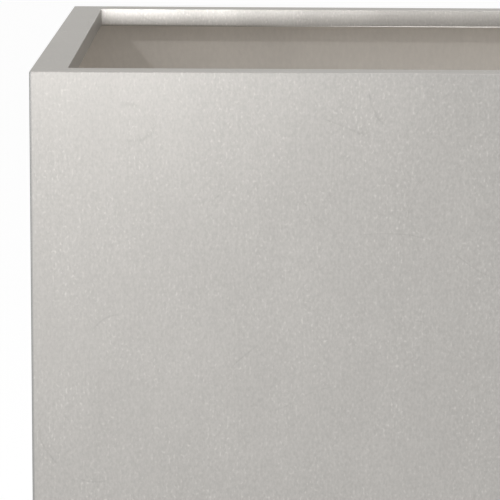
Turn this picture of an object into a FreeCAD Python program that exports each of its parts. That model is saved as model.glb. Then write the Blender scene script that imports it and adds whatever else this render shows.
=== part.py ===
import FreeCAD, Part
import math
import os
import re
import Sketcher

# A floor planter of folded and welded stainless sheet.
# The origin is on the floor under the middle of the box: +X runs along the long walls,
# -Y is the front and +Z is up. Every length is in millimetres.

# The driving dimensions
sizes = {
    # outside of the box
    "box_length": 800,
    "box_depth": 400,
    "box_height": 400,
    "wall_lift": 8,
    # the folded wall sheet: flat rim, hemmed lip and bottom return
    "wall_sheet": 1.2,
    "fold_radius": 0.8,
    "rim_width": 19,
    "lip_height": 11.5,
    "hem_gap": 0.2,
    "hem_leg": 6,
    "bottom_return": 25,
    # plates under the mitres of the rim
    "corner_plate_arm": 42,
    "corner_plate_sheet": 1.2,
    # base pan and its sealing bead
    "base_level": 55,
    "base_sheet": 1.5,
    "base_edge": 18,
    "bead_leg": 6,
    "bead_toe": 0.4,
    "drain_radius": 12,
    "drain_inset": 200,
    # box tubes under the base
    "rail_width": 40,
    "rail_height": 30,
    "rail_wall": 2,
    "rail_inset": 90,
    # hat channels on the long walls
    "channel_level": 225,
    "channel_width": 60,
    "channel_crown": 32,
    "channel_depth": 12,
    "channel_sheet": 1.2,
    "channel_end_gap": 40,
    # threaded inserts in the rails
    "foot_inset": 60,
    "insert_radius": 6.5,
    "insert_length": 19,
    "insert_flange_radius": 9,
    "insert_flange": 1.2,
    "insert_fit": 0.1,
    # levelling feet
    "stud_radius": 5,
    "thread_clearance": 0.05,
    "stud_chamfer": 1,
    "stud_headroom": 3,
    "nut_flats": 17,
    "nut_height": 8,
    "nut_play": 0.3,
    "hex_height": 6,
    "spigot_radius": 4,
    "spigot_length": 5,
    "spigot_fit": 0.1,
    "pad_radius": 20,
    "pad_edge": 2.5,
    "pad_shoulder": 11,
    "sole_radius": 17,
    "sole_recess": 1,
    "sole_fit": 0.1,
    "sole_thickness": 3,
    # drain plugs
    "plug_clearance": 0.3,
    "plug_taper": 1.2,
    "plug_length": 10,
    "plug_flange_radius": 17,
    "plug_flange": 3,
    "plug_neck_radius": 4,
    "plug_neck": 5,
    "plug_knob_radius": 7.5,
    "plug_knob": 5,
    "plug_edge": 1,
    # how far a cut runs past the piece it cuts
    "overrun": 5,
}

doc = FreeCAD.newDocument("planter")
table = doc.addObject("Spreadsheet::Sheet", "sizes")
for row, (alias, length) in enumerate(sizes.items(), start=1):
    table.set("A%d" % row, alias)
    table.set("B%d" % row, str(length))
    table.setAlias("B%d" % row, alias)
doc.recompute()


def bound(text):
    """The same sum of sizes, written so that any object of the document can use it."""
    return re.sub(r"[a-z]\w+", lambda word: "sizes." + word[0] if word[0] in sizes else word[0], text)


def length_of(text):
    """The present value of a sum of sizes."""
    return float(table.evalExpression(text))


def new_body(name, base=("0", "0", "0"), angle=0):
    """An empty body that stands at base, turned about the vertical by an angle in degrees."""
    body = doc.addObject("PartDesign::Body", name)
    body.Label = name
    body.Placement = FreeCAD.Placement(FreeCAD.Vector(), FreeCAD.Rotation(FreeCAD.Vector(0, 0, 1), angle))
    for axis, text in zip("xyz", base):
        body.setExpression("Placement.Base." + axis, bound(text))
    return body


def new_sketch(body, name, plane, raise_by=None):
    """An empty sketch on one of the body's own origin planes, raised along its normal if asked."""
    sketch = body.newObject("Sketcher::SketchObject", name)
    support = [feature for feature in body.Origin.OriginFeatures if feature.Role == plane][0]
    sketch.AttachmentSupport = [(support, "")]
    sketch.MapMode = "FlatFace"
    if raise_by:
        sketch.setExpression("AttachmentOffset.Base.z", bound(raise_by))
    return sketch


def pin_point(sketch, element, end, point):
    """Holds one end of an element at a point given by two sums of sizes."""
    for kind, text in zip(("DistanceX", "DistanceY"), point):
        number = sketch.addConstraint(Sketcher.Constraint(kind, -1, 1, element, end, length_of(text)))
        sketch.setExpression("Constraints[%d]" % number, bound(text))


def draw_outline(sketch, points, arcs=None):
    """A closed outline. The side that starts at point i is straight, or the arc in arcs[i]:
    its centre, its radius, and whether it turns left or right on the way to the next point."""
    arcs = arcs or {}
    places = [FreeCAD.Vector(length_of(x), length_of(y), 0) for x, y in points]
    joints = []
    for index, start in enumerate(places):
        stop = places[(index + 1) % len(places)]
        if index in arcs:
            centre_text, radius_text, turn = arcs[index]
            centre = FreeCAD.Vector(length_of(centre_text[0]), length_of(centre_text[1]), 0)
            first, last = (start, stop) if turn == "left" else (stop, start)
            from_angle = math.atan2(first.y - centre.y, first.x - centre.x)
            to_angle = math.atan2(last.y - centre.y, last.x - centre.x)
            circle = Part.Circle(centre, FreeCAD.Vector(0, 0, 1), length_of(radius_text))
            side = sketch.addGeometry(Part.ArcOfCircle(circle, from_angle, to_angle))
            number = sketch.addConstraint(Sketcher.Constraint("Radius", side, length_of(radius_text)))
            sketch.setExpression("Constraints[%d]" % number, bound(radius_text))
            joints.append((side, 1, 2) if turn == "left" else (side, 2, 1))
        else:
            side = sketch.addGeometry(Part.LineSegment(start, stop))
            joints.append((side, 1, 2))
    for index, (side, start_end, stop_end) in enumerate(joints):
        following, following_start, following_stop = joints[(index + 1) % len(joints)]
        sketch.addConstraint(Sketcher.Constraint("Coincident", side, stop_end, following, following_start))
        pin_point(sketch, side, start_end, points[index])


def draw_circle(sketch, centre, radius):
    """A circle whose centre and radius are sums of sizes."""
    place = FreeCAD.Vector(length_of(centre[0]), length_of(centre[1]), 0)
    side = sketch.addGeometry(Part.Circle(place, FreeCAD.Vector(0, 0, 1), length_of(radius)))
    number = sketch.addConstraint(Sketcher.Constraint("Radius", side, length_of(radius)))
    sketch.setExpression("Constraints[%d]" % number, bound(radius))
    pin_point(sketch, side, 3, centre)


def pad(body, sketch, name, length):
    """The sketch drawn out to a solid length."""
    feature = body.newObject("PartDesign::Pad", name)
    feature.Profile = sketch
    feature.setExpression("Length", bound(length))
    body.Tip = feature
    doc.recompute()
    return feature


def pocket(body, sketch, name, length):
    """A cut that rises from the sketch, checked by the volume that it takes away."""
    before = body.Shape.Volume
    feature = body.newObject("PartDesign::Pocket", name)
    feature.Profile = sketch
    feature.setExpression("Length", bound(length))
    feature.Reversed = True
    body.Tip = feature
    doc.recompute()
    if not body.Shape.Volume < before:
        raise RuntimeError("the cut %s takes nothing away" % name)
    return feature


def revolve(body, sketch, name):
    """The sketch turned once about the body's own upright axis."""
    feature = body.newObject("PartDesign::Revolution", name)
    feature.Profile = sketch
    feature.ReferenceAxis = (sketch, ["V_Axis"])
    feature.Angle = 360
    body.Tip = feature
    doc.recompute()
    return feature


def hexagon(flats):
    """The corners of a hexagon with two flats square to X."""
    half = "(%s) / 2" % flats
    point = "(%s) / sqrt(3)" % flats
    low = "(%s) / sqrt(12)" % flats
    return [(half, "-" + low), (half, low), ("0", point), ("-" + half, low), ("-" + half, "-" + low),
            ("0", "-" + point)]


def group(name, members):
    """Like pieces that share one node."""
    compound = doc.addObject("Part::Compound", name)
    compound.Label = name
    compound.Links = members
    doc.recompute()
    return compound


# The four corners of the box in plan, and the angle by which a piece made for the front left
# corner is turned to stand at each
corners = {
    "front_left": ("-box_length / 2", "-box_depth / 2"),
    "front_right": ("box_length / 2", "-box_depth / 2"),
    "back_right": ("box_length / 2", "box_depth / 2"),
    "back_left": ("-box_length / 2", "box_depth / 2"),
}
corner_angle = {"front_left": 0, "front_right": 90, "back_right": 180, "back_left": 270}
nodes = []

# Wall panels
# Each wall is one sheet: a bottom return, the wall, a flat rim folded inwards and a lip that
# turns down and ends in a hem, folded back on itself as a safe edge. The section is drawn in
# the body's YZ plane, with Y inwards, and its ends are cut to mitres that meet the next wall.
hem_inner = "hem_gap / 2"
hem_outer = "(wall_sheet + hem_gap / 2)"
hem_middle = "(rim_width - %s)" % hem_outer
hem_level = "(box_height - lip_height + %s)" % hem_outer
hem_centre = (hem_middle, hem_level)


def draw_wall_section(sketch):
    points = [
        ("bottom_return", "wall_lift"),
        ("bottom_return", "wall_lift + wall_sheet"),
        ("wall_sheet", "wall_lift + wall_sheet"),
        ("wall_sheet", "box_height - wall_sheet"),
        ("rim_width - wall_sheet", "box_height - wall_sheet"),
        ("rim_width - wall_sheet", hem_level),
        (hem_middle, hem_level + " - " + hem_inner),
        (hem_middle + " - " + hem_inner, hem_level),
        (hem_middle + " - " + hem_inner, hem_level + " + hem_leg"),
        (hem_middle + " - " + hem_outer, hem_level + " + hem_leg"),
        (hem_middle + " - " + hem_outer, hem_level),
        (hem_middle, "box_height - lip_height"),
        ("rim_width", hem_level),
        ("rim_width", "box_height - fold_radius"),
        ("rim_width - fold_radius", "box_height"),
        ("fold_radius", "box_height"),
        ("0", "box_height - fold_radius"),
        ("0", "wall_lift + fold_radius"),
        ("fold_radius", "wall_lift"),
    ]
    arcs = {
        5: (hem_centre, hem_inner, "right"),
        6: (hem_centre, hem_inner, "right"),
        10: (hem_centre, hem_outer, "left"),
        11: (hem_centre, hem_outer, "left"),
        13: (("rim_width - fold_radius", "box_height - fold_radius"), "fold_radius", "left"),
        15: (("fold_radius", "box_height - fold_radius"), "fold_radius", "left"),
        17: (("fold_radius", "wall_lift + fold_radius"), "fold_radius", "left"),
    }
    draw_outline(sketch, points, arcs)


def draw_mitres(sketch, run):
    """The plan of what both ends lose: the mitre, and the square that the corner weld fills."""
    reach = "(rim_width + bottom_return)"
    points = [("-overrun", "-overrun"), ("wall_sheet", "-overrun"), ("wall_sheet", "wall_sheet"),
              (reach, reach), ("-overrun", reach)]
    draw_outline(sketch, points)
    draw_outline(sketch, [("%s - (%s)" % (run, x), y) for x, y in points])


for label, corner, run in (("front_panel", "front_left", "box_length"),
                           ("right_panel", "front_right", "box_depth"),
                           ("back_panel", "back_right", "box_length"),
                           ("left_panel", "back_left", "box_depth")):
    wall = new_body(label, corners[corner] + ("0",), corner_angle[corner])
    section = new_sketch(wall, label + "_section", "YZ_Plane")
    draw_wall_section(section)
    pad(wall, section, label + "_sheet", run)
    mitres = new_sketch(wall, label + "_mitre_plan", "XY_Plane")
    draw_mitres(mitres, run)
    pocket(wall, mitres, label + "_mitres", "box_height + overrun")
    nodes.append(wall)

# Corner welds
# The walls stop one sheet short of each outer corner. The weld fills that square from the
# bottom to the rim and is ground to the same small radius as the folds.
def outer_edges(shape):
    """The names of the edges of a corner block that lie outside: the upright one and the top two."""
    top = shape.BoundBox.ZMax
    names = []
    for number, edge in enumerate(shape.Edges, start=1):
        box = edge.BoundBox
        upright = box.XMax + box.YMax < shape.BoundBox.XMax / 2
        outside_top = box.ZMin > top / 2 and min(box.XMax, box.YMax) < shape.BoundBox.XMax / 2
        if upright or outside_top:
            names.append("Edge%d" % number)
    return names


for corner, place in corners.items():
    weld = new_body("corner_weld_" + corner, place + ("wall_lift",), corner_angle[corner])
    plan = new_sketch(weld, weld.Label + "_plan", "XY_Plane")
    draw_outline(plan, [("0", "0"), ("wall_sheet", "0"), ("wall_sheet", "wall_sheet"), ("0", "wall_sheet")])
    block = pad(weld, plan, weld.Label + "_bead", "box_height - wall_lift")
    ground = weld.newObject("PartDesign::Fillet", weld.Label + "_ground_edges")
    ground.Base = (block, outer_edges(block.Shape))
    ground.setExpression("Radius", bound("fold_radius"))
    weld.Tip = ground
    doc.recompute()
    nodes.append(weld)

# Rim corner plates
# An L of sheet is welded under each mitre of the rim, between the wall and the lip.
plate_level = "box_height - wall_sheet - corner_plate_sheet"
lip_back = "rim_width - wall_sheet"
plates = []
for corner, place in corners.items():
    plate = new_body("rim_corner_plate_" + corner, place + (plate_level,), corner_angle[corner])
    plan = new_sketch(plate, plate.Label + "_plan", "XY_Plane")
    draw_outline(plan, [("wall_sheet", "wall_sheet"), ("corner_plate_arm", "wall_sheet"),
                        ("corner_plate_arm", lip_back), (lip_back, lip_back),
                        (lip_back, "corner_plate_arm"), ("wall_sheet", "corner_plate_arm")])
    pad(plate, plan, plate.Label + "_sheet", "corner_plate_sheet")
    plates.append(plate)
nodes.append(group("rim_corner_plates", plates))


def rectangle(half_x, half_y):
    """A rectangle about the origin."""
    return [("-(%s)" % half_x, "-(%s)" % half_y), (half_x, "-(%s)" % half_y), (half_x, half_y),
            ("-(%s)" % half_x, half_y)]


# Base pan
# One sheet with its four edges turned down and welded to the walls, and two drain holes.
inside_x = "(box_length / 2 - wall_sheet)"
inside_y = "(box_depth / 2 - wall_sheet)"
base_top = "base_level + base_sheet"
base_pan = new_body("base_pan", ("0", "0", base_top + " - base_edge"))
pan_plan = new_sketch(base_pan, "base_pan_plan", "XY_Plane")
draw_outline(pan_plan, rectangle(inside_x, inside_y))
pad(base_pan, pan_plan, "base_pan_block", "base_edge")
pan_hollow = new_sketch(base_pan, "base_pan_hollow_plan", "XY_Plane")
draw_outline(pan_hollow, rectangle(inside_x + " - base_sheet", inside_y + " - base_sheet"))
pocket(base_pan, pan_hollow, "base_pan_hollow", "base_edge - base_sheet")
drain_places = {
    "left": ("-(box_length / 2 - drain_inset)", "0"),
    "right": ("box_length / 2 - drain_inset", "0"),
}
drain_plan = new_sketch(base_pan, "drain_plan", "XY_Plane")
for place in drain_places.values():
    draw_circle(drain_plan, place, "drain_radius")
pocket(base_pan, drain_plan, "drain_holes", "base_edge + overrun")
nodes.append(base_pan)

# Base seal
# A bead with a sloping face runs round the base where it meets the walls.
base_seal = new_body("base_seal", ("0", "0", base_top))
seal_plan = new_sketch(base_seal, "base_seal_plan", "XY_Plane")
draw_outline(seal_plan, rectangle(inside_x, inside_y))
pad(base_seal, seal_plan, "base_seal_block", "bead_leg")
seal_low = new_sketch(base_seal, "base_seal_low_edge", "XY_Plane")
draw_outline(seal_low, rectangle(inside_x + " - bead_leg", inside_y + " - bead_leg"))
seal_high = new_sketch(base_seal, "base_seal_high_edge", "XY_Plane", "bead_leg")
draw_outline(seal_high, rectangle(inside_x + " - bead_toe", inside_y + " - bead_toe"))
seal_hollow = base_seal.newObject("PartDesign::SubtractiveLoft", "base_seal_hollow")
seal_hollow.Profile = seal_low
seal_hollow.Sections = [seal_high]
seal_hollow.Ruled = True
base_seal.Tip = seal_hollow
doc.recompute()
nodes.append(base_seal)

# Base rails
# Three box tubes run from the front edge of the pan to the back edge, under its sheet. The
# outer two are drilled in their lower wall for the feet.
rail_run = "(box_depth - 2 * wall_sheet - 2 * base_sheet)"
rail_start = "-%s / 2" % rail_run
foot_near = "(foot_inset - wall_sheet - base_sheet)"
rail_out = "(box_length / 2 - rail_inset)"
for side, place in (("left", "-" + rail_out), ("middle", "0"), ("right", rail_out)):
    rail = new_body("base_rail_" + side, (place, rail_start, "base_level - rail_height"), 90)
    tube = new_sketch(rail, rail.Label + "_section", "YZ_Plane")
    for margin in ("0", "rail_wall"):
        across = "(rail_width / 2 - %s)" % margin
        top = "rail_height - " + margin
        draw_outline(tube, [("-" + across, margin), (across, margin), (across, top), ("-" + across, top)])
    pad(rail, tube, rail.Label + "_tube", rail_run)
    if side != "middle":
        holes = new_sketch(rail, rail.Label + "_hole_plan", "XY_Plane")
        for along in (foot_near, "%s - %s" % (rail_run, foot_near)):
            draw_circle(holes, (along, "0"), "insert_radius + insert_fit")
        pocket(rail, holes, rail.Label + "_holes", "rail_height / 2")
    nodes.append(rail)

# Stiffeners
# A hat channel is welded to the inside of each long wall, half way down, so that the weight of
# the soil doesn't bow it. The section is drawn with Y inwards from the wall.
channel_run = "(box_length - 2 * wall_sheet - 2 * channel_end_gap)"
channel_points = [
    ("0", "-channel_width / 2"),
    ("channel_sheet", "-channel_width / 2"),
    ("channel_sheet", "-channel_crown / 2"),
    ("channel_depth", "-channel_crown / 2"),
    ("channel_depth", "channel_crown / 2"),
    ("channel_sheet", "channel_crown / 2"),
    ("channel_sheet", "channel_width / 2"),
    ("0", "channel_width / 2"),
    ("0", "channel_crown / 2 - channel_sheet"),
    ("channel_depth - channel_sheet", "channel_crown / 2 - channel_sheet"),
    ("channel_depth - channel_sheet", "channel_sheet - channel_crown / 2"),
    ("0", "channel_sheet - channel_crown / 2"),
]
for side, place, angle in (("front", ("-%s / 2" % channel_run, "-" + inside_y), 0),
                           ("back", ("%s / 2" % channel_run, inside_y), 180)):
    channel = new_body(side + "_stiffener", place + ("channel_level",), angle)
    hat = new_sketch(channel, channel.Label + "_section", "YZ_Plane")
    draw_outline(hat, channel_points)
    pad(channel, hat, channel.Label + "_channel", channel_run)
    nodes.append(channel)

# Feet
# Each outer rail holds two. A threaded insert is set in the rail's lower wall, and a nut
# locks the stud against it. The stud's hexagon stops under the nut, its spigot sits in the
# pad, and a rubber sole fills the pad's recess and meets the floor.
rail_low = "base_level - rail_height"
nut_low = rail_low + " - insert_flange - nut_height"
hex_top = nut_low + " - nut_play"
pad_top = hex_top + " - hex_height"
pad_low = "sole_thickness - sole_recess"
stud_top = "base_level - rail_wall - stud_headroom"
thread_bore = "stud_radius + thread_clearance"
foot_places = {
    "front_left": ("-" + rail_out, "-(box_depth / 2 - foot_inset)"),
    "front_right": (rail_out, "-(box_depth / 2 - foot_inset)"),
    "back_right": (rail_out, "box_depth / 2 - foot_inset"),
    "back_left": ("-" + rail_out, "box_depth / 2 - foot_inset"),
}


def turned(name, place, points):
    """A body turned from a half section: radius and height of each corner."""
    body = new_body(name, place + ("0",))
    sketch = new_sketch(body, name + "_section", "XZ_Plane")
    draw_outline(sketch, points)
    revolve(body, sketch, name + "_turned")
    return body


inserts = []
nuts = []
feet = []
for corner, place in foot_places.items():
    inserts.append(turned("rivet_nut_" + corner, place, [
        (thread_bore, rail_low + " - insert_flange"),
        ("insert_flange_radius", rail_low + " - insert_flange"),
        ("insert_flange_radius", rail_low),
        ("insert_radius", rail_low),
        ("insert_radius", rail_low + " - insert_flange + insert_length"),
        (thread_bore, rail_low + " - insert_flange + insert_length"),
    ]))
    nut = new_body("lock_nut_" + corner, place + (nut_low,))
    nut_plan = new_sketch(nut, nut.Label + "_plan", "XY_Plane")
    draw_outline(nut_plan, hexagon("nut_flats"))
    draw_circle(nut_plan, ("0", "0"), thread_bore)
    pad(nut, nut_plan, nut.Label + "_block", "nut_height")
    nuts.append(nut)

    stud = turned("foot_stud_" + corner, place, [
        ("0", pad_top + " - spigot_length"),
        ("spigot_radius", pad_top + " - spigot_length"),
        ("spigot_radius", pad_top),
        ("stud_radius", pad_top),
        ("stud_radius", stud_top + " - stud_chamfer"),
        ("stud_radius - stud_chamfer", stud_top),
        ("0", stud_top),
    ])
    hex_plan = new_sketch(stud, stud.Label + "_hexagon_plan", "XY_Plane", pad_top)
    draw_outline(hex_plan, hexagon("nut_flats"))
    pad(stud, hex_plan, stud.Label + "_hexagon", "hex_height")
    socket = "spigot_radius + spigot_fit"
    cup = turned("foot_pad_" + corner, place, [
        ("0", "sole_thickness"),
        ("sole_radius + sole_fit", "sole_thickness"),
        ("sole_radius + sole_fit", pad_low),
        ("pad_radius", pad_low),
        ("pad_radius", pad_low + " + pad_edge"),
        ("pad_shoulder", pad_top),
        (socket, pad_top),
        (socket, pad_top + " - spigot_length"),
        ("0", pad_top + " - spigot_length"),
    ])
    sole = turned("foot_sole_" + corner, place, [
        ("0", "0"), ("sole_radius", "0"), ("sole_radius", "sole_thickness"), ("0", "sole_thickness"),
    ])
    feet += [stud, cup, sole]
nodes.append(group("rivet_nuts", inserts))
nodes.append(group("lock_nuts", nuts))
nodes += feet

# Drain plugs
# A rubber plug closes each drain hole. Its flange lies on the base and its knob is pulled to
# let the water out.
flange_low = base_top + " + plug_clearance"
knob_low = flange_low + " + plug_flange + plug_neck"
hole_fit = "drain_radius - plug_clearance"
for side, place in drain_places.items():
    nodes.append(turned("drain_plug_" + side, place, [
        ("0", flange_low + " - plug_length"),
        (hole_fit + " - plug_taper", flange_low + " - plug_length"),
        (hole_fit, flange_low + " - base_sheet - plug_clearance"),
        (hole_fit, flange_low),
        ("plug_flange_radius", flange_low),
        ("plug_flange_radius", flange_low + " + plug_flange - plug_edge"),
        ("plug_flange_radius - plug_edge", flange_low + " + plug_flange"),
        ("plug_neck_radius", flange_low + " + plug_flange"),
        ("plug_neck_radius", knob_low),
        ("plug_knob_radius", knob_low + " + plug_edge"),
        ("plug_knob_radius", knob_low + " + plug_knob - plug_edge"),
        ("plug_knob_radius - plug_edge", knob_low + " + plug_knob"),
        ("0", knob_low + " + plug_knob"),
    ]))

# Checks, then the files
doc.recompute()
for thing in doc.Objects:
    if {"Invalid", "Error"} & set(thing.State):
        raise RuntimeError("%s failed: %s" % (thing.Label, thing.State))
for node in nodes:
    if node.Shape.isNull() or not node.Shape.isValid():
        raise RuntimeError("%s has no valid shape" % node.Label)
os.makedirs("parts", exist_ok=True)
for node in nodes:
    node.Shape.exportStep("parts/%s.step" % node.Label)
    box = node.Shape.BoundBox
    print("%-26s solids %d  volume %10.1f  z %.2f to %.2f" % (
        node.Label, len(node.Shape.Solids), node.Shape.Volume, box.ZMin, box.ZMax))
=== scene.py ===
import math
import bmesh
import bpy
from mathutils import Matrix, Vector


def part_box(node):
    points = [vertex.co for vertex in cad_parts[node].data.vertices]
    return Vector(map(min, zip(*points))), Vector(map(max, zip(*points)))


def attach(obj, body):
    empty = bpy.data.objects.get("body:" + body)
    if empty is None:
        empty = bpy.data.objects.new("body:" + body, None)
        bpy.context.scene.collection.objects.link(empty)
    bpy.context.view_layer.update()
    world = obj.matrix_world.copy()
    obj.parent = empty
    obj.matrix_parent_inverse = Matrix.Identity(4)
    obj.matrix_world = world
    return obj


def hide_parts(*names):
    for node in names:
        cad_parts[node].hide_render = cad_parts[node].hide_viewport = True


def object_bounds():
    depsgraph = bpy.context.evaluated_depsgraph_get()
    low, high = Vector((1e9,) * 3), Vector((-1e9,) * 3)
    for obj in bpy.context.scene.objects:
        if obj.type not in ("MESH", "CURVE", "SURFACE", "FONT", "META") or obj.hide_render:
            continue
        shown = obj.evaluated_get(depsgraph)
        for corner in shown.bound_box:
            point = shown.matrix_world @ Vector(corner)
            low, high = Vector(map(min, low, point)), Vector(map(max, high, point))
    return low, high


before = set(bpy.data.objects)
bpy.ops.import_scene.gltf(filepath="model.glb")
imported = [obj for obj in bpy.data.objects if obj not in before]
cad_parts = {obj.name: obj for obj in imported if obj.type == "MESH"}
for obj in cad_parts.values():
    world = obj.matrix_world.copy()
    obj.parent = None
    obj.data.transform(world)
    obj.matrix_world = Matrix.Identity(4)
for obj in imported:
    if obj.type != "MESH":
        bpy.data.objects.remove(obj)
cad_low, cad_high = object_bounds()
scene = bpy.context.scene

# Walls
# Four sheets of 1.2 mm stainless steel, brushed upright outside and left dull inside. Each is
# folded on a press brake into a bottom return, the wall, a flat rim and a lip with a hem.
# The ends are mitred, so that the rims meet in flush corners.
mm = 0.001
same_place = 0.001 * mm  # corners nearer than this are one
wall_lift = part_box("front_panel")[0].z
wall_top = cad_high.z
wall_sheet = 1.2 * mm
fold_radius = 0.5 * mm
fold_segments = 5
rim_width = 19 * mm
lip_height = 11.5 * mm
hem_gap = 0.2 * mm
hem_leg = 6 * mm
hem_segments = 16
bottom_return = 25 * mm
noise_low, noise_high = 0.3, 0.7  # most of a noise lies between these
satin_grey = (0.461, 0.446, 0.425)
glancing_grey = (0.68, 0.67, 0.65)
pale_warm_grey_painted_bounce = (0.68, 0.637, 0.582)
corner_places = {
    "front_left": (cad_low.x, cad_low.y, 0),
    "front_right": (cad_high.x, cad_low.y, 90),
    "back_right": (cad_high.x, cad_high.y, 180),
    "back_left": (cad_low.x, cad_high.y, 270),
}


def add_node(owner, kind, links=None, **values):
    """A node whose inputs are set by name, or joined to another node's output by links."""
    node = owner.node_tree.nodes.new("ShaderNode" + kind)
    for name, value in values.items():
        if hasattr(node, name):
            setattr(node, name, value)
        else:
            node.inputs[name].default_value = value
    for name, output in (links or {}).items():
        owner.node_tree.links.new(output, node.inputs[name])
    return node


def link(owner, output, socket):
    """One wire between two nodes."""
    owner.node_tree.links.new(output, socket)


def stretched_noise(material, size, detail, rough):
    """Noise whose features measure about size along X, Y and Z, in metres."""
    place = add_node(material, "TexCoord")
    mapping = add_node(material, "Mapping", {"Vector": place.outputs["Object"]})
    mapping.inputs["Scale"].default_value = [1 / length for length in size]
    noise = add_node(material, "TexNoise", {"Vector": mapping.outputs["Vector"]},
                     Scale=1.0, Detail=detail, Roughness=rough)
    return noise.outputs["Fac"]


def remapped(owner, value, from_low, from_high, to_low, to_high):
    """The value's range from_low to from_high spread over to_low to to_high, and held there."""
    node = add_node(owner, "MapRange", {"Value": value})
    node.inputs["From Min"].default_value = from_low
    node.inputs["From Max"].default_value = from_high
    node.inputs["To Min"].default_value = to_low
    node.inputs["To Max"].default_value = to_high
    return node.outputs["Result"]


def spread(material, noise, low, high):
    """Noise as a value that drifts between low and high."""
    return remapped(material, noise, noise_low, noise_high, low, high)


def calculated(owner, operation, first, second):
    """Two values, or a value and a number, added, multiplied and so on."""
    node = add_node(owner, "Math", operation=operation)
    for socket, value in zip(node.inputs, (first, second)):
        if isinstance(value, (int, float)):
            socket.default_value = value
        else:
            link(owner, value, socket)
    return node.outputs["Value"]


def tinted(material, colour, factor):
    """A colour made lighter or darker by a factor that varies over the surface."""
    node = add_node(material, "VectorMath", {"Scale": factor}, operation="SCALE")
    node.inputs[0].default_value = colour
    return node.outputs["Vector"]


def new_material(name, metallic, roughness, colour=None):
    """A material with one Principled shader."""
    material = bpy.data.materials.new(name)
    material.use_nodes = True
    shader = material.node_tree.nodes["Principled BSDF"]
    shader.inputs["Metallic"].default_value = metallic
    shader.inputs["Roughness"].default_value = roughness
    if colour:
        shader.inputs["Base Color"].default_value = (*colour, 1)
    return material, shader


def add_bump(material, shader, height, depth, strength):
    """Relief of the given depth in metres, from a height between 0 and 1."""
    bump = add_node(material, "Bump", {"Height": height}, Distance=depth, Strength=strength)
    link(material, bump.outputs["Normal"], shader.inputs["Normal"])


def brushed_stainless():
    """Satin sheet: a short fine grain, light flecks in patches, thin hairlines, a faint cloud."""
    material, shader = new_material("brushed_stainless", 1.0, 0.36)
    grain = stretched_noise(material, (1.2 * mm, 1.2 * mm, 1.9 * mm), 3.0, 0.6)
    flecks = stretched_noise(material, (1.3 * mm, 1.3 * mm, 1.9 * mm), 0.0, 0.5)
    patches = stretched_noise(material, (22 * mm, 22 * mm, 30 * mm), 2.0, 0.5)
    cloud = stretched_noise(material, (30 * mm, 30 * mm, 60 * mm), 3.0, 0.5)
    strokes = stretched_noise(material, (0.9 * mm, 0.9 * mm, 16 * mm), 2.0, 0.5)
    shade = spread(material, grain, 0.915, 1.085)
    bright = calculated(material, "MULTIPLY", remapped(material, flecks, 0.62, 0.86, 0.0, 0.26),
                        remapped(material, patches, 0.35, 0.65, 0.25, 1.0))
    drift = calculated(material, "MULTIPLY", spread(material, cloud, 0.98, 1.02),
                       spread(material, strokes, 0.985, 1.015))
    # a hairline runs where a slow noise passes its middle value
    curve = stretched_noise(material, (70 * mm, 70 * mm, 70 * mm), 0.0, 0.5)
    off_line = calculated(material, "ABSOLUTE",
                          calculated(material, "SUBTRACT", curve, 0.5), 0.0)
    hairline = calculated(material, "MULTIPLY", remapped(material, off_line, 0.0, 0.004, 0.1, 0.0),
                          remapped(material, patches, 0.5, 0.56, 0.0, 1.0))
    lit = calculated(material, "SUBTRACT", calculated(material, "ADD", shade, bright), hairline)
    total = calculated(material, "MULTIPLY", lit, drift)
    link(material, tinted(material, satin_grey, total), shader.inputs["Base Color"])
    link(material, spread(material, grain, 0.33, 0.41), shader.inputs["Roughness"])
    shader.inputs["Specular Tint"].default_value = (*glancing_grey, 1)
    add_bump(material, shader, grain, 0.02 * mm, 0.5)
    return material


def unbrushed_side():
    """The sheet's mill side: dull, a little cloudy, its pale warm grey painted bounce light."""
    material, shader = new_material("unbrushed_side", 0.2, 0.6)
    rolling = stretched_noise(material, (2 * mm, 2 * mm, 4 * mm), 3.0, 0.6)
    cloud = stretched_noise(material, (40 * mm, 40 * mm, 60 * mm), 3.0, 0.5)
    tone = calculated(material, "MULTIPLY", spread(material, rolling, 0.97, 1.03),
                      spread(material, cloud, 0.97, 1.03))
    # painted bounce light: this grey is paler and warmer than the sheet, for the inside of the box
    link(material, tinted(material, pale_warm_grey_painted_bounce, tone), shader.inputs["Base Color"])
    link(material, spread(material, cloud, 0.56, 0.64), shader.inputs["Roughness"])
    add_bump(material, shader, rolling, 0.01 * mm, 0.2)
    return material


def all_parts(shape):
    """Every corner, edge and face, as an operator wants them."""
    return shape.verts[:] + shape.edges[:] + shape.faces[:]


def new_points(result):
    """The corners that an operator made."""
    return [item for item in result["geom"] if isinstance(item, bmesh.types.BMVert)]


def face_outwards(shape):
    """All faces turned to look away from the solid."""
    bmesh.ops.recalc_face_normals(shape, faces=shape.faces[:])


def merge_points(shape):
    """Corners at the same place become one."""
    bmesh.ops.remove_doubles(shape, verts=shape.verts[:], dist=same_place)


def round_off(shape, edges, radius, segments):
    """Edges rounded to a radius."""
    bmesh.ops.bevel(shape, geom=edges, offset=radius, offset_type="OFFSET", segments=segments,
                    profile=0.5, affect="EDGES", material=-1)


def hang_section(points):
    """A mesh that starts as one flat face in the YZ plane."""
    shape = bmesh.new()
    shape.faces.new([shape.verts.new((0, y, z)) for y, z in points])
    return shape


def nearest_edge(shape, y, z):
    """The edge that passes through one place of the section."""
    return min(shape.edges, key=lambda edge: max(
        (Vector((corner.co.y, corner.co.z)) - Vector((y, z))).length for corner in edge.verts))


def pull_out(shape, run):
    """The shape's faces drawn out by a vector to a solid."""
    grown = bmesh.ops.extrude_face_region(shape, geom=shape.faces[:])
    bmesh.ops.translate(shape, verts=new_points(grown), vec=run)
    face_outwards(shape)


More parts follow.
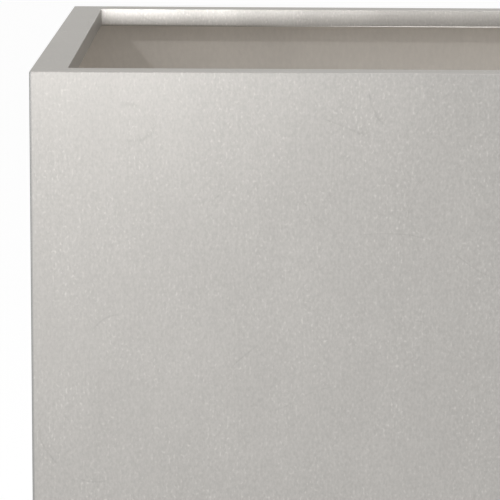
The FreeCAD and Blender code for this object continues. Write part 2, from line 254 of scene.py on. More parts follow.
def cut_off(shape, place, outward):
    """Takes away what lies past a plane and closes the cut."""
    result = bmesh.ops.bisect_plane(shape, geom=all_parts(shape), dist=same_place,
                                    plane_co=place, plane_no=outward, clear_outer=True)
    rim = [item for item in result["geom_cut"]
           if isinstance(item, bmesh.types.BMEdge) and item.is_boundary]
    bmesh.ops.edgeloop_fill(shape, edges=rim)


def mitre_ends(shape, run, shoulder):
    """Both ends cut square at the shoulder, then at 45 degrees in plan from there inwards."""
    cut_off(shape, (shoulder, 0, 0), (-1, 0, 0))
    cut_off(shape, (0, 0, 0), (-1, 1, 0))
    cut_off(shape, (run - shoulder, 0, 0), (1, 0, 0))
    cut_off(shape, (run, 0, 0), (1, 1, 0))
    merge_points(shape)
    face_outwards(shape)


def finish_piece(shape, name, materials, body, nodes=(), place=None, smooth_angle=30):
    """The mesh as a named piece of the object: placed, shaded, dressed and set on its body."""
    if place:
        bmesh.ops.transform(shape, matrix=place, verts=shape.verts[:])
    mesh = bpy.data.meshes.new(name)
    shape.to_mesh(mesh)
    shape.free()
    mesh.shade_smooth()
    mesh.set_sharp_from_angle(angle=math.radians(smooth_angle))
    piece = bpy.data.objects.new(name, mesh)
    scene.collection.objects.link(piece)
    for material in materials:
        mesh.materials.append(material)
    even = piece.modifiers.new("even_normals", "WEIGHTED_NORMAL")
    even.keep_sharp = True
    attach(piece, body)
    if nodes:
        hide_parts(*nodes)


def corner_turn(corner, height=0.0):
    """Where a piece made for the front left corner goes, turned to face its own corner."""
    x, y, turn = corner_places[corner]
    return Matrix.Translation((x, y, height)) @ Matrix.Rotation(math.radians(turn), 4, "Z")


def folded_wall(run):
    """One wall, folded and mitred, with its outer face on the plane Y = 0."""
    hem_level = wall_top - lip_height + wall_sheet + hem_gap / 2
    hem_middle = rim_width - wall_sheet - hem_gap / 2
    shape = hang_section([
        (bottom_return, wall_lift), (bottom_return, wall_lift + wall_sheet),
        (wall_sheet, wall_lift + wall_sheet), (wall_sheet, wall_top - wall_sheet),
        (rim_width - wall_sheet, wall_top - wall_sheet), (rim_width - wall_sheet, hem_level),
        (rim_width, hem_level), (rim_width, wall_top), (0, wall_top), (0, wall_lift),
    ])
    lip_end = nearest_edge(shape, rim_width - wall_sheet / 2, hem_level)
    hem = bmesh.ops.spin(shape, geom=[lip_end, *lip_end.verts], cent=(0, hem_middle, hem_level),
                         axis=(-1, 0, 0), angle=math.pi, steps=hem_segments, use_merge=False)
    hem_end = [item for item in hem["geom_last"] if isinstance(item, bmesh.types.BMEdge)]
    leg = bmesh.ops.extrude_edge_only(shape, edges=hem_end)
    bmesh.ops.translate(shape, verts=new_points(leg), vec=(0, 0, hem_leg))
    pull_out(shape, (run, 0, 0))
    # the dull side looks into the box, down under the rim and up from the return
    near, square_on = 2 * wall_sheet, 0.9
    for face in shape.faces:
        middle = face.calc_center_median()
        up_inside = face.normal.y > square_on and middle.y < near
        under_rim = face.normal.z < -square_on and middle.z > wall_top - near
        over_return = face.normal.z > square_on and middle.z < wall_lift + near
        face.material_index = 1 if up_inside or under_rim or over_return else 0
    folds = ((0, wall_lift), (0, wall_top), (rim_width, wall_top))
    round_off(shape, [nearest_edge(shape, y, z) for y, z in folds], fold_radius, fold_segments)
    mitre_ends(shape, run, wall_sheet)
    return shape


stainless = brushed_stainless()
sheet_back = unbrushed_side()
box_length = cad_high.x - cad_low.x
box_depth = cad_high.y - cad_low.y
for side, corner, run in (("front", "front_left", box_length), ("right", "front_right", box_depth),
                          ("back", "back_right", box_length), ("left", "back_left", box_depth)):
    finish_piece(folded_wall(run), side + "_wall", [stainless, sheet_back], "planter",
                 [side + "_panel"], corner_turn(corner))

# Corner welds
# The walls are welded along each upright corner. The bead is ground flush and rounded a little,
# which leaves short scratches across it.
# the bead's darker grey is painted shade: a dark line down each rounded outer corner
corner_shade_grey = (0.34, 0.338, 0.33)
weld_metal, weld_shader = new_material("ground_weld", 1.0, 0.34)
scratches = stretched_noise(weld_metal, (3 * mm, 3 * mm, 0.5 * mm), 3.0, 0.6)
link(weld_metal, tinted(weld_metal, corner_shade_grey, spread(weld_metal, scratches, 0.93, 1.05)),
     weld_shader.inputs["Base Color"])
add_bump(weld_metal, weld_shader, scratches, 0.02 * mm, 0.6)
for corner in corner_places:
    bead = bmesh.new()
    bmesh.ops.create_cube(bead, size=1.0)
    bmesh.ops.translate(bead, verts=bead.verts[:], vec=(0.5, 0.5, 0.5))
    bmesh.ops.scale(bead, verts=bead.verts[:], vec=(wall_sheet, wall_sheet, wall_top - wall_lift))
    # ground round: the upright edge at the corner, and the two top edges that start there
    ground = []
    for edge in bead.edges:
        far_x, far_y = (max(point.co[axis] for point in edge.verts) for axis in (0, 1))
        upright = max(far_x, far_y) < wall_sheet / 2
        on_top = min(point.co.z for point in edge.verts) > wall_sheet
        if upright or (on_top and min(far_x, far_y) < wall_sheet / 2):
            ground.append(edge)
    round_off(bead, ground, fold_radius, fold_segments)
    finish_piece(bead, corner + "_corner_bead", [weld_metal], "planter",
                 ["corner_weld_" + corner], corner_turn(corner, wall_lift))

# Rim corner plates and base pan
# Plain stainless sheet as it comes from the mill: a dull, slightly clouded grey with faint
# rolling lines. The plates are welded under the mitres of the rim, the pan between the walls.
mill_grey = (0.52, 0.505, 0.485)


def mill_stainless():
    """Unpolished sheet and tube."""
    material, shader = new_material("mill_stainless", 1.0, 0.42)
    rolling = stretched_noise(material, (40 * mm, 1.5 * mm, 1.5 * mm), 3.0, 0.6)
    cloud = stretched_noise(material, (60 * mm, 60 * mm, 60 * mm), 3.0, 0.5)
    tone = calculated(material, "MULTIPLY", spread(material, rolling, 0.96, 1.04),
                      spread(material, cloud, 0.95, 1.05))
    link(material, tinted(material, mill_grey, tone), shader.inputs["Base Color"])
    link(material, spread(material, cloud, 0.36, 0.48), shader.inputs["Roughness"])
    add_bump(material, shader, rolling, 0.02 * mm, 0.4)
    return material


def dress_node(name, material):
    """A CAD node that keeps its shape and gets its real finish."""
    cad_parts[name].data.materials.clear()
    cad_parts[name].data.materials.append(material)


mill_metal = mill_stainless()
dress_node("rim_corner_plates", mill_metal)
dress_node("base_pan", mill_metal)

# Base seal
# A bead of grey sealant round the edge of the base, drawn hollow with a finger while soft, so
# its face is a smooth hollow curve with a faint wave along it.
seal_low, seal_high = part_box("base_seal")
bead_leg = seal_high.z - seal_low.z
bead_toe = 0.4 * mm
hollow_steps = 10
sealant_grey = (0.36, 0.355, 0.345)
sealant, sealant_shader = new_material("grey_sealant", 0.0, 0.55)
drag = stretched_noise(sealant, (14 * mm, 14 * mm, 3 * mm), 3.0, 0.5)
dust = stretched_noise(sealant, (0.8 * mm, 0.8 * mm, 0.8 * mm), 2.0, 0.6)
sealant_tone = calculated(sealant, "MULTIPLY", spread(sealant, drag, 0.93, 1.07),
                          spread(sealant, dust, 0.97, 1.03))
link(sealant, tinted(sealant, sealant_grey, sealant_tone), sealant_shader.inputs["Base Color"])
link(sealant, spread(sealant, drag, 0.45, 0.65), sealant_shader.inputs["Roughness"])
add_bump(sealant, sealant_shader, drag, 0.25 * mm, 0.6)
# A block as wide as the box: its top is inset and sunk in steps along a hollow quarter circle,
# then the middle is taken out and the underside closed.
seal = bmesh.new()
bmesh.ops.create_grid(seal, x_segments=1, y_segments=1, size=0.5)
bmesh.ops.scale(seal, verts=seal.verts[:],
                vec=(seal_high.x - seal_low.x, seal_high.y - seal_low.y, 1))
bmesh.ops.translate(seal, verts=seal.verts[:], vec=(0, 0, seal_low.z))
wall_line = seal.edges[:]
raised = bmesh.ops.extrude_face_region(seal, geom=seal.faces[:])
bmesh.ops.translate(seal, verts=new_points(raised), vec=(0, 0, bead_leg))
floor_of_block = [face for face in seal.faces if all(edge in wall_line for edge in face.edges)]
bmesh.ops.delete(seal, geom=floor_of_block, context="FACES_ONLY")
inner_face = max(seal.faces, key=lambda face: face.calc_center_median().z)
bmesh.ops.inset_region(seal, faces=[inner_face], use_even_offset=True, thickness=bead_toe, depth=0)
span = bead_leg - bead_toe
for step in range(hollow_steps):
    before, after = (math.radians(90 * turn / hollow_steps) for turn in (step, step + 1))
    bmesh.ops.inset_region(seal, faces=[inner_face], use_even_offset=True,
                           thickness=span * (math.cos(before) - math.cos(after)),
                           depth=-bead_leg * (math.sin(after) - math.sin(before)))
bmesh.ops.delete(seal, geom=[inner_face], context="FACES_ONLY")
bmesh.ops.bridge_loops(seal, edges=[edge for edge in seal.edges if edge.is_boundary])
face_outwards(seal)
finish_piece(seal, "base_sealant_bead", [sealant], "planter", ["base_seal"])

# Base rails
# Three box tubes with rounded corners, held under the pan by short stitches of weld. The outer
# two are drilled in their lower wall for the feet.
tube_wall = 2 * mm
tube_corner_radius = 3 * mm
tube_corner_segments = 5
insert_hole_radius = 6.6 * mm
hole_side_cuts = 7
foot_inset = 60 * mm
stitch_length = 24 * mm
stitch_radius = 2.1 * mm
stitch_ripples = 14
ripple_squeeze = 0.7
stitch_pitch = 80 * mm
stitch_drop = 0.9 * mm  # its middle lies this far under the tube's top
stitch_overlap = 0.2 * mm  # and this far inside the tube's side
blue_tint = (0.34, 0.35, 0.40)
straw_tint = (0.55, 0.46, 0.33)


def box_tube(low, high):
    """A box tube along Y, open at both ends."""
    shape = bmesh.new()
    outline = ((low.x, low.z), (high.x, low.z), (high.x, high.z), (low.x, high.z))
    end = shape.faces.new([shape.verts.new((x, low.y, z)) for x, z in outline])
    bmesh.ops.bevel(shape, geom=end.verts[:], offset=tube_corner_radius, offset_type="OFFSET",
                    segments=tube_corner_segments, profile=0.5, affect="VERTICES", material=-1)
    opening = shape.faces[:]
    bmesh.ops.inset_region(shape, faces=opening, use_boundary=True, use_even_offset=True,
                           thickness=tube_wall, depth=0)
    bmesh.ops.delete(shape, geom=opening, context="FACES_ONLY")
    pull_out(shape, (0, high.y - low.y, 0))
    return shape


def open_rim(shape, level):
    """The open edges that lie at a level."""
    return [edge for edge in shape.edges
            if edge.is_boundary and abs(edge.verts[0].co.z - level) < 0.1 * mm]


def drill(shape, x, y, low, high, radius):
    """A round upright hole through the flat wall between two levels."""
    # two cuts each way leave a square patch over the hole
    reach = 1.5 * radius
    for place, across in (((x - reach, 0, 0), (1, 0, 0)), ((x + reach, 0, 0), (1, 0, 0)),
                          ((0, y - reach, 0), (0, 1, 0)), ((0, y + reach, 0), (0, 1, 0))):
        bmesh.ops.bisect_plane(shape, geom=all_parts(shape), dist=same_place, plane_co=place,
                               plane_no=across)
    # each face of the wall loses its patch and narrows to a round rim
    for level in (low, high):
        centre = Vector((x, y, level))
        patch = min(shape.faces, key=lambda face: (face.calc_center_median() - centre).length)
        sides = patch.edges[:]
        bmesh.ops.delete(shape, geom=[patch], context="FACES_ONLY")
        bmesh.ops.subdivide_edges(shape, edges=sides, cuts=hole_side_cuts)
        rim = bmesh.ops.extrude_edge_only(shape, edges=open_rim(shape, level))
        for point in new_points(rim):
            point.co = centre + (point.co - centre).normalized() * radius
    bore = bmesh.ops.extrude_edge_only(shape, edges=open_rim(shape, low))
    bmesh.ops.translate(shape, verts=new_points(bore), vec=(0, 0, high - low))
    merge_points(shape)
    face_outwards(shape)


def weld_stitch():
    """A short bead along Y: a row of ripples that overlap."""
    shape = bmesh.new()
    squeezed = Matrix.Diagonal((1, ripple_squeeze, 1, 1))
    for number in range(stitch_ripples):
        along = stitch_length * (number / (stitch_ripples - 1) - 0.5)
        bmesh.ops.create_uvsphere(shape, u_segments=10, v_segments=6, radius=stitch_radius,
                                  matrix=Matrix.Translation((0, along, 0)) @ squeezed)
    return shape


def joined(*shapes, places=((0, 0, 0),)):
    """Closed shapes in one mesh, each of them set down at every place."""
    whole = bmesh.new()
    for shape in shapes:
        carrier = bpy.data.meshes.new("carrier")
        shape.to_mesh(carrier)
        shape.free()
        stands_at = Vector((0, 0, 0))
        for place in places:
            carrier.transform(Matrix.Translation(Vector(place) - stands_at))
            stands_at = Vector(place)
            whole.from_mesh(carrier)
        bpy.data.meshes.remove(carrier)
    return whole


heat_metal, heat_shader = new_material("heat_tinted_weld", 1.0, 0.4)
tint_cloud = stretched_noise(heat_metal, (2.5 * mm, 2.5 * mm, 2.5 * mm), 2.0, 0.5)
heat = add_node(heat_metal, "ValToRGB", {"Fac": tint_cloud})
for stop, position, tint in zip(heat.color_ramp.elements, (0.35, 0.65), (blue_tint, straw_tint)):
    stop.position = position
    stop.color = (*tint, 1)
link(heat_metal, heat.outputs["Color"], heat_shader.inputs["Base Color"])
add_bump(heat_metal, heat_shader, tint_cloud, 0.1 * mm, 0.6)
stitch_places = []
for side in ("left", "middle", "right"):
    low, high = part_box("base_rail_" + side)
    tube = box_tube(low, high)
    if side != "middle":
        for place in (cad_low.y + foot_inset, cad_high.y - foot_inset):
            drill(tube, (low.x + high.x) / 2, place, low.z, low.z + tube_wall,
                  insert_hole_radius)
    finish_piece(tube, side + "_box_tube", [mill_metal], "planter",
                 ["base_rail_" + side])
    stitch_places += [(edge, step * stitch_pitch, high.z - stitch_drop)
                      for edge in (low.x + stitch_overlap, high.x - stitch_overlap)
                      for step in range(-2, 3)]
finish_piece(joined(weld_stitch(), places=stitch_places), "rail_stitch_welds", [heat_metal],
             "planter")

# Stiffeners
# Hat channels bent from plain sheet. Their flanges are spot welded to the long walls, and each
# weld leaves a shallow ring with a straw and blue heat tint.
channel_sheet = 1.2 * mm
channel_crown = 32 * mm
bend_radius = 2 * mm
spot_pitch = 60 * mm
spot_radius = 2.6 * mm
ring_width = 0.6 * mm
ring_height = 0.2 * mm
dimple_edge = 0.12 * mm
dimple_middle = 0.1 * mm


def turned_shape(profile, steps=64):
    """A solid turned about Z from its half section, given as radius and height of each corner."""
    shape = bmesh.new()
    corners = [shape.verts.new((radius, 0, height)) for radius, height in profile]
    for first, second in zip(corners, corners[1:]):
        shape.edges.new((first, second))
    bmesh.ops.spin(shape, geom=all_parts(shape), cent=(0, 0, 0), axis=(0, 0, 1),
                   angle=2 * math.pi, steps=steps, use_merge=True)
    merge_points(shape)
    face_outwards(shape)
    return shape


for side, turn in (("front", 0), ("back", 180)):
    low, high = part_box(side + "_stiffener")
    run = high.x - low.x
    depth = high.y - low.y
    middle_z = (low.z + high.z) / 2
    half_width = (high.z - low.z) / 2
    crown = channel_crown / 2
    outline = [
        (0, -half_width), (channel_sheet, -half_width), (channel_sheet, -crown),
        (depth, -crown), (depth, crown), (channel_sheet, crown),
        (channel_sheet, half_width), (0, half_width), (0, crown - channel_sheet),
        (depth - channel_sheet, crown - channel_sheet),
        (depth - channel_sheet, channel_sheet - crown), (0, channel_sheet - crown),
    ]
    channel = hang_section(outline)
    pull_out(channel, (run, 0, 0))
    # the corners of the outline that are the outside of a bend, then those on its inside
    for bends, radius, segments in (((3, 4, 8, 11), bend_radius, 4),
                                    ((2, 5, 9, 10), bend_radius - channel_sheet, 3)):
        edges = [nearest_edge(channel, *outline[number]) for number in bends]
        round_off(channel, edges, radius, segments)
    face_outwards(channel)
    wall_face = low.y if side == "front" else high.y
    start = low.x if side == "front" else high.x
    stand = (Matrix.Translation((start, wall_face, middle_z))
             @ Matrix.Rotation(math.radians(turn), 4, "Z"))
    finish_piece(channel, side + "_channel", [mill_metal], "planter",
                 [side + "_stiffener"], stand)

    spot = turned_shape([
        (0, 0), (spot_radius, 0), (spot_radius - ring_width, ring_height),
        (spot_radius - 2 * ring_width, dimple_edge), (0, dimple_middle)], steps=24)
    count = int(run / spot_pitch)
    row_gap = half_width + crown
    bmesh.ops.transform(spot, verts=spot.verts[:], matrix=Matrix.Translation(
        (0.5 * run / count, channel_sheet, -row_gap / 2)) @ Matrix.Rotation(-math.pi / 2, 4, "X"))
    places = [(number * run / count, 0, row * row_gap) for row in (0, 1) for number in range(count)]
    finish_piece(joined(spot, places=places), side + "_channel_spot_welds", [heat_metal],
                 "planter", place=stand)

# Threaded inserts
# Zinc-plated steel inserts with a flat flange and an M10 thread. Each is pushed up through the
# rail's lower wall and squeezed tight there with a puller.
thread_radius = 5 * mm
thread_fit = 0.05 * mm
thread_bore = thread_radius + thread_fit
insert_radius = 6.5 * mm
insert_flange = 1.2 * mm
insert_flange_radius = 9 * mm
insert_rounding = 0.2 * mm
zinc_grey = (0.56, 0.57, 0.58)


def zinc_steel():
    """Bright zinc plate: cool, faintly mottled, a little dull in the hollows."""
    material, shader = new_material("zinc_steel", 1.0, 0.32)
    mottle = stretched_noise(material, (3 * mm, 3 * mm, 3 * mm), 3.0, 0.6)
    scratch = stretched_noise(material, (6 * mm, 0.4 * mm, 0.4 * mm), 2.0, 0.6)
    tone = calculated(material, "MULTIPLY", spread(material, mottle, 0.88, 1.06),
                      spread(material, scratch, 0.96, 1.04))
    link(material, tinted(material, zinc_grey, tone), shader.inputs["Base Color"])
    link(material, spread(material, mottle, 0.40, 0.26), shader.inputs["Roughness"])
    add_bump(material, shader, mottle, 0.03 * mm, 0.4)
    return material


def round_edges(shape, width, sharpest=25, segments=3):
    """Every edge that turns more than an angle gets a small radius."""
    sharp = [edge for edge in shape.edges
             if len(edge.link_faces) == 2 and edge.calc_face_angle() > math.radians(sharpest)]
    bmesh.ops.bevel(shape, geom=sharp, offset=width, offset_type="OFFSET", segments=segments,
                    profile=0.5, affect="EDGES", clamp_overlap=True, material=-1)
    face_outwards(shape)


def moved_to(place, shape):
    """The shape, set down at its place."""
    bmesh.ops.translate(shape, verts=shape.verts[:], vec=place)
    return shape


zinc = zinc_steel()
insert_low, insert_high = (corner.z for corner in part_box("rivet_nuts"))
foot_places = {}
inserts = []
for corner in corner_places:
    low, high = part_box("foot_stud_" + corner)
    foot_places[corner] = Vector(((low.x + high.x) / 2, (low.y + high.y) / 2, 0))
    insert = turned_shape([
        (thread_bore, insert_low), (insert_flange_radius, insert_low),
        (insert_flange_radius, insert_low + insert_flange),
        (insert_radius, insert_low + insert_flange), (insert_radius, insert_high),
        (thread_bore, insert_high), (thread_bore, insert_low)])
    round_edges(insert, insert_rounding)
    inserts.append(moved_to(foot_places[corner], insert))
finish_piece(joined(*inserts), "threaded_inserts", [zinc], "planter",
             ["rivet_nuts"], smooth_angle=60)

# Lock nuts and foot screws
# M10 hexagon nuts with chamfered corners lock the feet. Each foot has a rolled thread, a
# hexagon for the spanner and a plain spigot that turns in its pad.
hexagon_flats = 17 * mm
chamfer_start = hexagon_flats / 2 * 0.96
chamfer_slope = math.radians(30)
chamfer_cuts = 24
thread_pitch = 1.5 * mm
thread_depth = 0.9 * mm
thread_steps = 32
spigot_radius = 4 * mm
spigot_steps = 32
hex_height = 6 * mm
root_overlap = 1 * mm


def chamfered_hexagon(low, high, bore=0.0):
    """A hexagon with two flats square to X, its corners turned off at both ends."""
    shape = bmesh.new()
    bmesh.ops.create_circle(shape, cap_ends=not bore, radius=hexagon_flats / math.sqrt(3),
                            segments=6)
    if bore:
        # three cuts on each of the six sides give as many corners as the bore's circle has
        bmesh.ops.subdivide_edges(shape, edges=shape.edges[:], cuts=3)
        bmesh.ops.create_circle(shape, cap_ends=False, radius=bore, segments=24)
        bmesh.ops.bridge_loops(shape, edges=shape.edges[:])
    bmesh.ops.translate(shape, verts=shape.verts[:], vec=(0, 0, low))
    pull_out(shape, (0, 0, high - low))
    for number in range(chamfer_cuts):
        angle = math.radians(number * 360 / chamfer_cuts)
        for level, up in ((high, 1), (low, -1)):
            outward = Vector((math.cos(angle) * math.sin(chamfer_slope),
                              math.sin(angle) * math.sin(chamfer_slope),
                              up * math.cos(chamfer_slope)))
            cut_off(shape, (math.cos(angle) * chamfer_start, math.sin(angle) * chamfer_start,
                            level), outward)
    face_outwards(shape)
    return shape


def threaded_rod(low, high):
    """A screw thread cut square at both ends."""
    turns = math.ceil((high - low) / thread_pitch) + 2
    root = thread_radius - thread_depth
    # the tooth's corners: their radius, and their height as a share of the pitch
    tooth = [(root, 0.0), (root, 0.12), (thread_radius, 0.5), (thread_radius, 0.62), (root, 1.0)]
    # it starts low enough for both cuts to pass between corners
    start = low - 1.3 * thread_pitch
    shape = bmesh.new()
    corners = [shape.verts.new((radius, 0, start + share * thread_pitch))
               for radius, share in tooth]
    for first, second in zip(corners, corners[1:]):
        shape.edges.new((first, second))
    bmesh.ops.spin(shape, geom=all_parts(shape), cent=(0, 0, 0), axis=(0, 0, 1),
                   dvec=(0, 0, thread_pitch / thread_steps), angle=2 * math.pi * turns,
                   steps=thread_steps * turns, use_merge=False)
    merge_points(shape)
    cut_off(shape, (0, 0, low), (0, 0, -1))
    cut_off(shape, (0, 0, high), (0, 0, 1))
    face_outwards(shape)
    return shape


nut_low, nut_high = (corner.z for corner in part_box("lock_nuts"))
nuts = []
for place in foot_places.values():
    nuts.append(moved_to(place, chamfered_hexagon(nut_low, nut_high, thread_bore)))
finish_piece(joined(*nuts), "foot_lock_nuts", [zinc], "planter", ["lock_nuts"],
             smooth_angle=20)
for corner, place in foot_places.items():
    stud_low, stud_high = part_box("foot_stud_" + corner)
    hex_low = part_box("foot_pad_" + corner)[1].z
    hex_top = hex_low + hex_height
    spigot = turned_shape([
        (0, stud_low.z), (spigot_radius, stud_low.z), (spigot_radius, hex_low + root_overlap),
        (0, hex_low + root_overlap)], spigot_steps)
    screw = joined(spigot, chamfered_hexagon(hex_low, hex_top),
                   threaded_rod(hex_top - root_overlap, stud_high.z))
    finish_piece(moved_to(place, screw), corner + "_foot_screw", [zinc],
                 "foot_" + corner, ["foot_stud_" + corner], smooth_angle=25)

# Foot pads and soles
# The pads are moulded from black nylon with small radii and a fine grain. A ribbed rubber sole
# is pressed into each from below.
pad_edge = 2.5 * mm
pad_shoulder = 11 * mm
shoulder_slope = 1 * mm
shoulder_drop = 1.2 * mm
pad_rounding = 0.4 * mm
spigot_fit = 0.1 * mm
socket_radius = spigot_radius + spigot_fit
sole_radius = 17 * mm
sole_fit = 0.1 * mm
sole_rounding = 0.12 * mm
first_rib = 3 * mm
rib_depth = 0.8 * mm
rib_width = 1.5 * mm
rib_slope = 0.3 * mm
nylon_black = (0.028, 0.028, 0.029)
rubber_black = (0.022, 0.022, 0.022)


def moulded_black(name, colour, roughness, grain_size, relief):
    """Black nylon or rubber with the grain of its mould."""
    material, shader = new_material(name, 0.0, roughness)
    grain = stretched_noise(material, (grain_size, grain_size, grain_size), 3.0, 0.6)
    bloom = stretched_noise(material, (12 * mm, 12 * mm, 12 * mm), 3.0, 0.5)
    tone = calculated(material, "MULTIPLY", spread(material, grain, 0.85, 1.15),
                      remapped(material, bloom, 0.35, 0.7, 0.9, 1.35))
    link(material, tinted(material, colour, tone), shader.inputs["Base Color"])
    link(material, spread(material, bloom, roughness - 0.08, roughness + 0.08),
         shader.inputs["Roughness"])
    add_bump(material, shader, grain, relief, 0.5)
    return material


nylon = moulded_black("black_nylon", nylon_black, 0.45, 0.5 * mm, 0.06 * mm)
rubber = moulded_black("black_rubber", rubber_black, 0.68, 0.35 * mm, 0.04 * mm)
for corner, place in foot_places.items():
    pad_low, pad_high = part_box("foot_pad_" + corner)
    sole_low, sole_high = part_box("foot_sole_" + corner)
    spigot_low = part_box("foot_stud_" + corner)[0].z
    pad_radius = (pad_high.x - pad_low.x) / 2
    cup = turned_shape([
        (0, sole_high.z), (sole_radius + sole_fit, sole_high.z),
        (sole_radius + sole_fit, pad_low.z), (pad_radius, pad_low.z),
        (pad_radius, pad_low.z + pad_edge),
        (pad_shoulder + shoulder_slope, pad_high.z - shoulder_drop), (pad_shoulder, pad_high.z),
        (socket_radius, pad_high.z), (socket_radius, spigot_low), (0, spigot_low)])
    round_edges(cup, pad_rounding)
    finish_piece(moved_to(place, cup), corner + "_foot_cup", [nylon],
                 "foot_" + corner, ["foot_pad_" + corner], smooth_angle=60)
    ribs = [(0, sole_low.z)]
    edge = first_rib
    while edge + 2 * rib_width < sole_radius:
        ribs += [(edge, sole_low.z), (edge + rib_slope, sole_low.z + rib_depth),
                 (edge + rib_width - rib_slope, sole_low.z + rib_depth),
                 (edge + rib_width, sole_low.z)]
        edge += 2 * rib_width
    sole = turned_shape(ribs + [(sole_radius, sole_low.z), (sole_radius, sole_high.z),
                                (0, sole_high.z)])
    round_edges(sole, sole_rounding, sharpest=40, segments=2)
    finish_piece(moved_to(place, sole), corner + "_foot_tread", [rubber],
                 "foot_" + corner, ["foot_sole_" + corner], smooth_angle=60)

# Drain plugs
# Soft black rubber, moulded in one piece: a tapered stopper, a flange that lies on the base and
# a knob to pull it by.
stopper_tip = 10.5 * mm
stopper_radius = 11.7 * mm
taper_length = 8.2 * mm
stopper_length = 10 * mm
flange_top = 13 * mm
neck_radius = 4 * mm
neck_flare = 2 * mm
neck_blend = 1.5 * mm
knob_radius = 7.5 * mm
knob_low = 19 * mm
knob_top = 23 * mm
plug_slope = 1 * mm
plug_rounding = 0.6 * mm
for side in ("left", "right"):
    plug_low, plug_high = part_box("drain_plug_" + side)
    place = Vector(((plug_low.x + plug_high.x) / 2, (plug_low.y + plug_high.y) / 2, plug_low.z))
    flange_radius = (plug_high.x - plug_low.x) / 2
    plug = turned_shape([
        (0, 0), (stopper_tip, 0), (stopper_radius, taper_length), (stopper_radius, stopper_length),
        (flange_radius, stopper_length), (flange_radius, flange_top - plug_slope),
        (flange_radius - plug_slope, flange_top), (neck_radius + neck_flare, flange_top),
        (neck_radius, flange_top + neck_blend), (neck_radius, knob_low - neck_blend),
        (knob_radius, knob_low), (knob_radius, knob_top - plug_slope),
        (knob_radius - plug_slope, knob_top), (0, knob_top)])
    round_edges(plug, plug_rounding, sharpest=15)
    finish_piece(moved_to(place, plug), side + "_drain_stopper", [rubber], "plug_" + side,
                 ["drain_plug_" + side], smooth_angle=60)

# Floor, light and camera
# A pale floor under a white surround, a key light from the left front and small fill lights.
# The camera is aimed and framed as the photograph is.
plain_white = (1, 1, 1, 1)
floor_size = 40.0
floor_glow = 0.7  # the share of the floor that is plain white to the camera
floor_seen = 1.27  # how strong that white is
floor_in_metal = 1.0
surround_white = 1.0
world_level = 0.3  # the light that the surround gives


def ray_kinds(owner):
    """1 for the camera's own rays, and 1 for those that a mirror or a clear thing sends on."""
    rays = add_node(owner, "LightPath")
    sent_on = calculated(owner, "MAXIMUM", rays.outputs["Is Glossy Ray"],
                         rays.outputs["Is Transmission Ray"])
    return rays.outputs["Is Camera Ray"], sent_on


def add_lamp(name, place, target, size, power, beam=180):
    """A rectangular soft light that doesn't show itself. Beam is its angle in degrees."""
    lamp = bpy.data.lights.new(name, "AREA")
    lamp.shape = "RECTANGLE"
    lamp.size, lamp.size_y = size
    lamp.energy = power
    lamp.spread = math.radians(beam)
    lamp_object = bpy.data.objects.new(name, lamp)
    scene.collection.objects.link(lamp_object)
    lamp_object.location = place
    aim = Vector(target) - Vector(place)
    lamp_object.rotation_euler = aim.to_track_quat("-Z", "Y").to_euler()
    lamp_object.visible_camera = False


floor_shape = bmesh.new()
bmesh.ops.create_grid(floor_shape, x_segments=1, y_segments=1, size=floor_size / 2)
floor_mesh = bpy.data.meshes.new("floor")
floor_shape.to_mesh(floor_mesh)
floor_shape.free()
floor = bpy.data.objects.new("floor", floor_mesh)
scene.collection.objects.link(floor)
floor_paint, floor_shader = new_material("floor_paint", 0.0, 0.9, (0.8, 0.8, 0.8))
floor_mesh.materials.append(floor_paint)

# The surround is white to the eye and in the metal, and gives less light than that.
world = bpy.data.worlds.new("surround")
scene.world = world
world.use_nodes = True
background = world.node_tree.nodes["Background"]
background.inputs["Color"].default_value = plain_white
seen, mirrored = ray_kinds(world)
shown = calculated(world, "MAXIMUM", seen, mirrored)
link(world, remapped(world, shown, 0.0, 1.0, world_level, surround_white),
     background.inputs["Strength"])

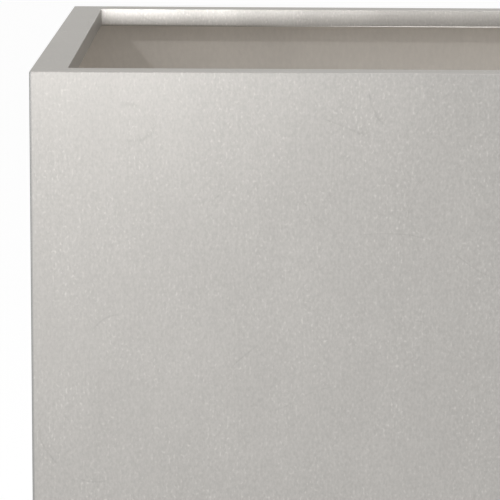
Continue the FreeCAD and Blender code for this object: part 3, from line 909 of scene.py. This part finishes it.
# So is the floor, which keeps part of its paint for the object's shadow.
glow = add_node(floor_paint, "Emission", Color=plain_white)
seen, mirrored = ray_kinds(floor_paint)
amount = calculated(floor_paint, "MAXIMUM",
                    calculated(floor_paint, "MULTIPLY", seen, floor_glow), mirrored)
link(floor_paint, remapped(floor_paint, mirrored, 0.0, 1.0, floor_seen, floor_in_metal),
     glow.inputs["Strength"])
blend = add_node(floor_paint, "MixShader")
for socket, output in zip(blend.inputs, (amount, floor_shader.outputs["BSDF"],
                                         glow.outputs["Emission"])):
    link(floor_paint, output, socket)
link(floor_paint, blend.outputs["Shader"],
     floor_paint.node_tree.nodes["Material Output"].inputs["Surface"])

key_direction = Vector((-0.63, -1.0, 0.7)).normalized()
key_distance = 4.0
key_target = Vector((-0.25, 0.1, 0.38))
# each lamp's place, what it is aimed at, its two sides and its power
add_lamp("key_light", key_target + key_direction * key_distance, key_target, (0.16, 0.16), 17)
add_lamp("top_light", (0, 0, 1.6), (0, 0.01, 0), (1.2, 0.8), 3.0)
add_lamp("left_strip_light", (-0.42, -0.8, 0.415), (-0.36, -0.2, 0.41), (0.3, 0.03), 0.33)
add_lamp("low_left_light", (-0.5, -1.2, 0.05), (-0.36, -0.2, 0.3), (0.4, 0.3), 0.32)
add_lamp("inner_light", (-0.1, 0.0, 0.1), (-0.15, 0.2, 0.42), (0.2, 0.1), 0.42)

# Narrow beams that graze the back rim and light the upper part of its lip. They all start at
# the left end and stop at different places, so that the light fades to the right.
strip_beam = 4
strip_start = -0.42
strip_power = 0.0104
strip_width = 0.01
strips = ((-0.33, 0.32), (-0.29, 0.20), (-0.25, 0.16), (-0.20, 0.12), (-0.05, 0.28))
for number, (strip_end, share) in enumerate(strips):
    middle = (strip_start + strip_end) / 2
    length = strip_end - strip_start
    add_lamp("lip_strip_%d" % number, (middle, -0.16, 0.406), (middle, 0.181, 0.402),
             (length, strip_width), strip_power * share * length, strip_beam)

# A long lens in front of the left end, a little above the rim, that looks slightly down.
camera_data = bpy.data.cameras.new("camera")
camera_data.sensor_width = 36
camera_data.lens = 193.58
camera_data.clip_start = 0.05
camera = bpy.data.objects.new("camera", camera_data)
scene.collection.objects.link(camera)
camera.location = (-0.293, -1.5933, 0.553)
yaw, pitch, roll = (math.radians(angle) for angle in (0.35, 10.04, 0.34))
camera.rotation_euler = (Matrix.Rotation(-yaw, 3, "Z")
                         @ Matrix.Rotation(math.pi / 2 - pitch, 3, "X")
                         @ Matrix.Rotation(roll, 3, "Z")).to_euler()
scene.camera = camera
scene.view_settings.view_transform = "Standard"
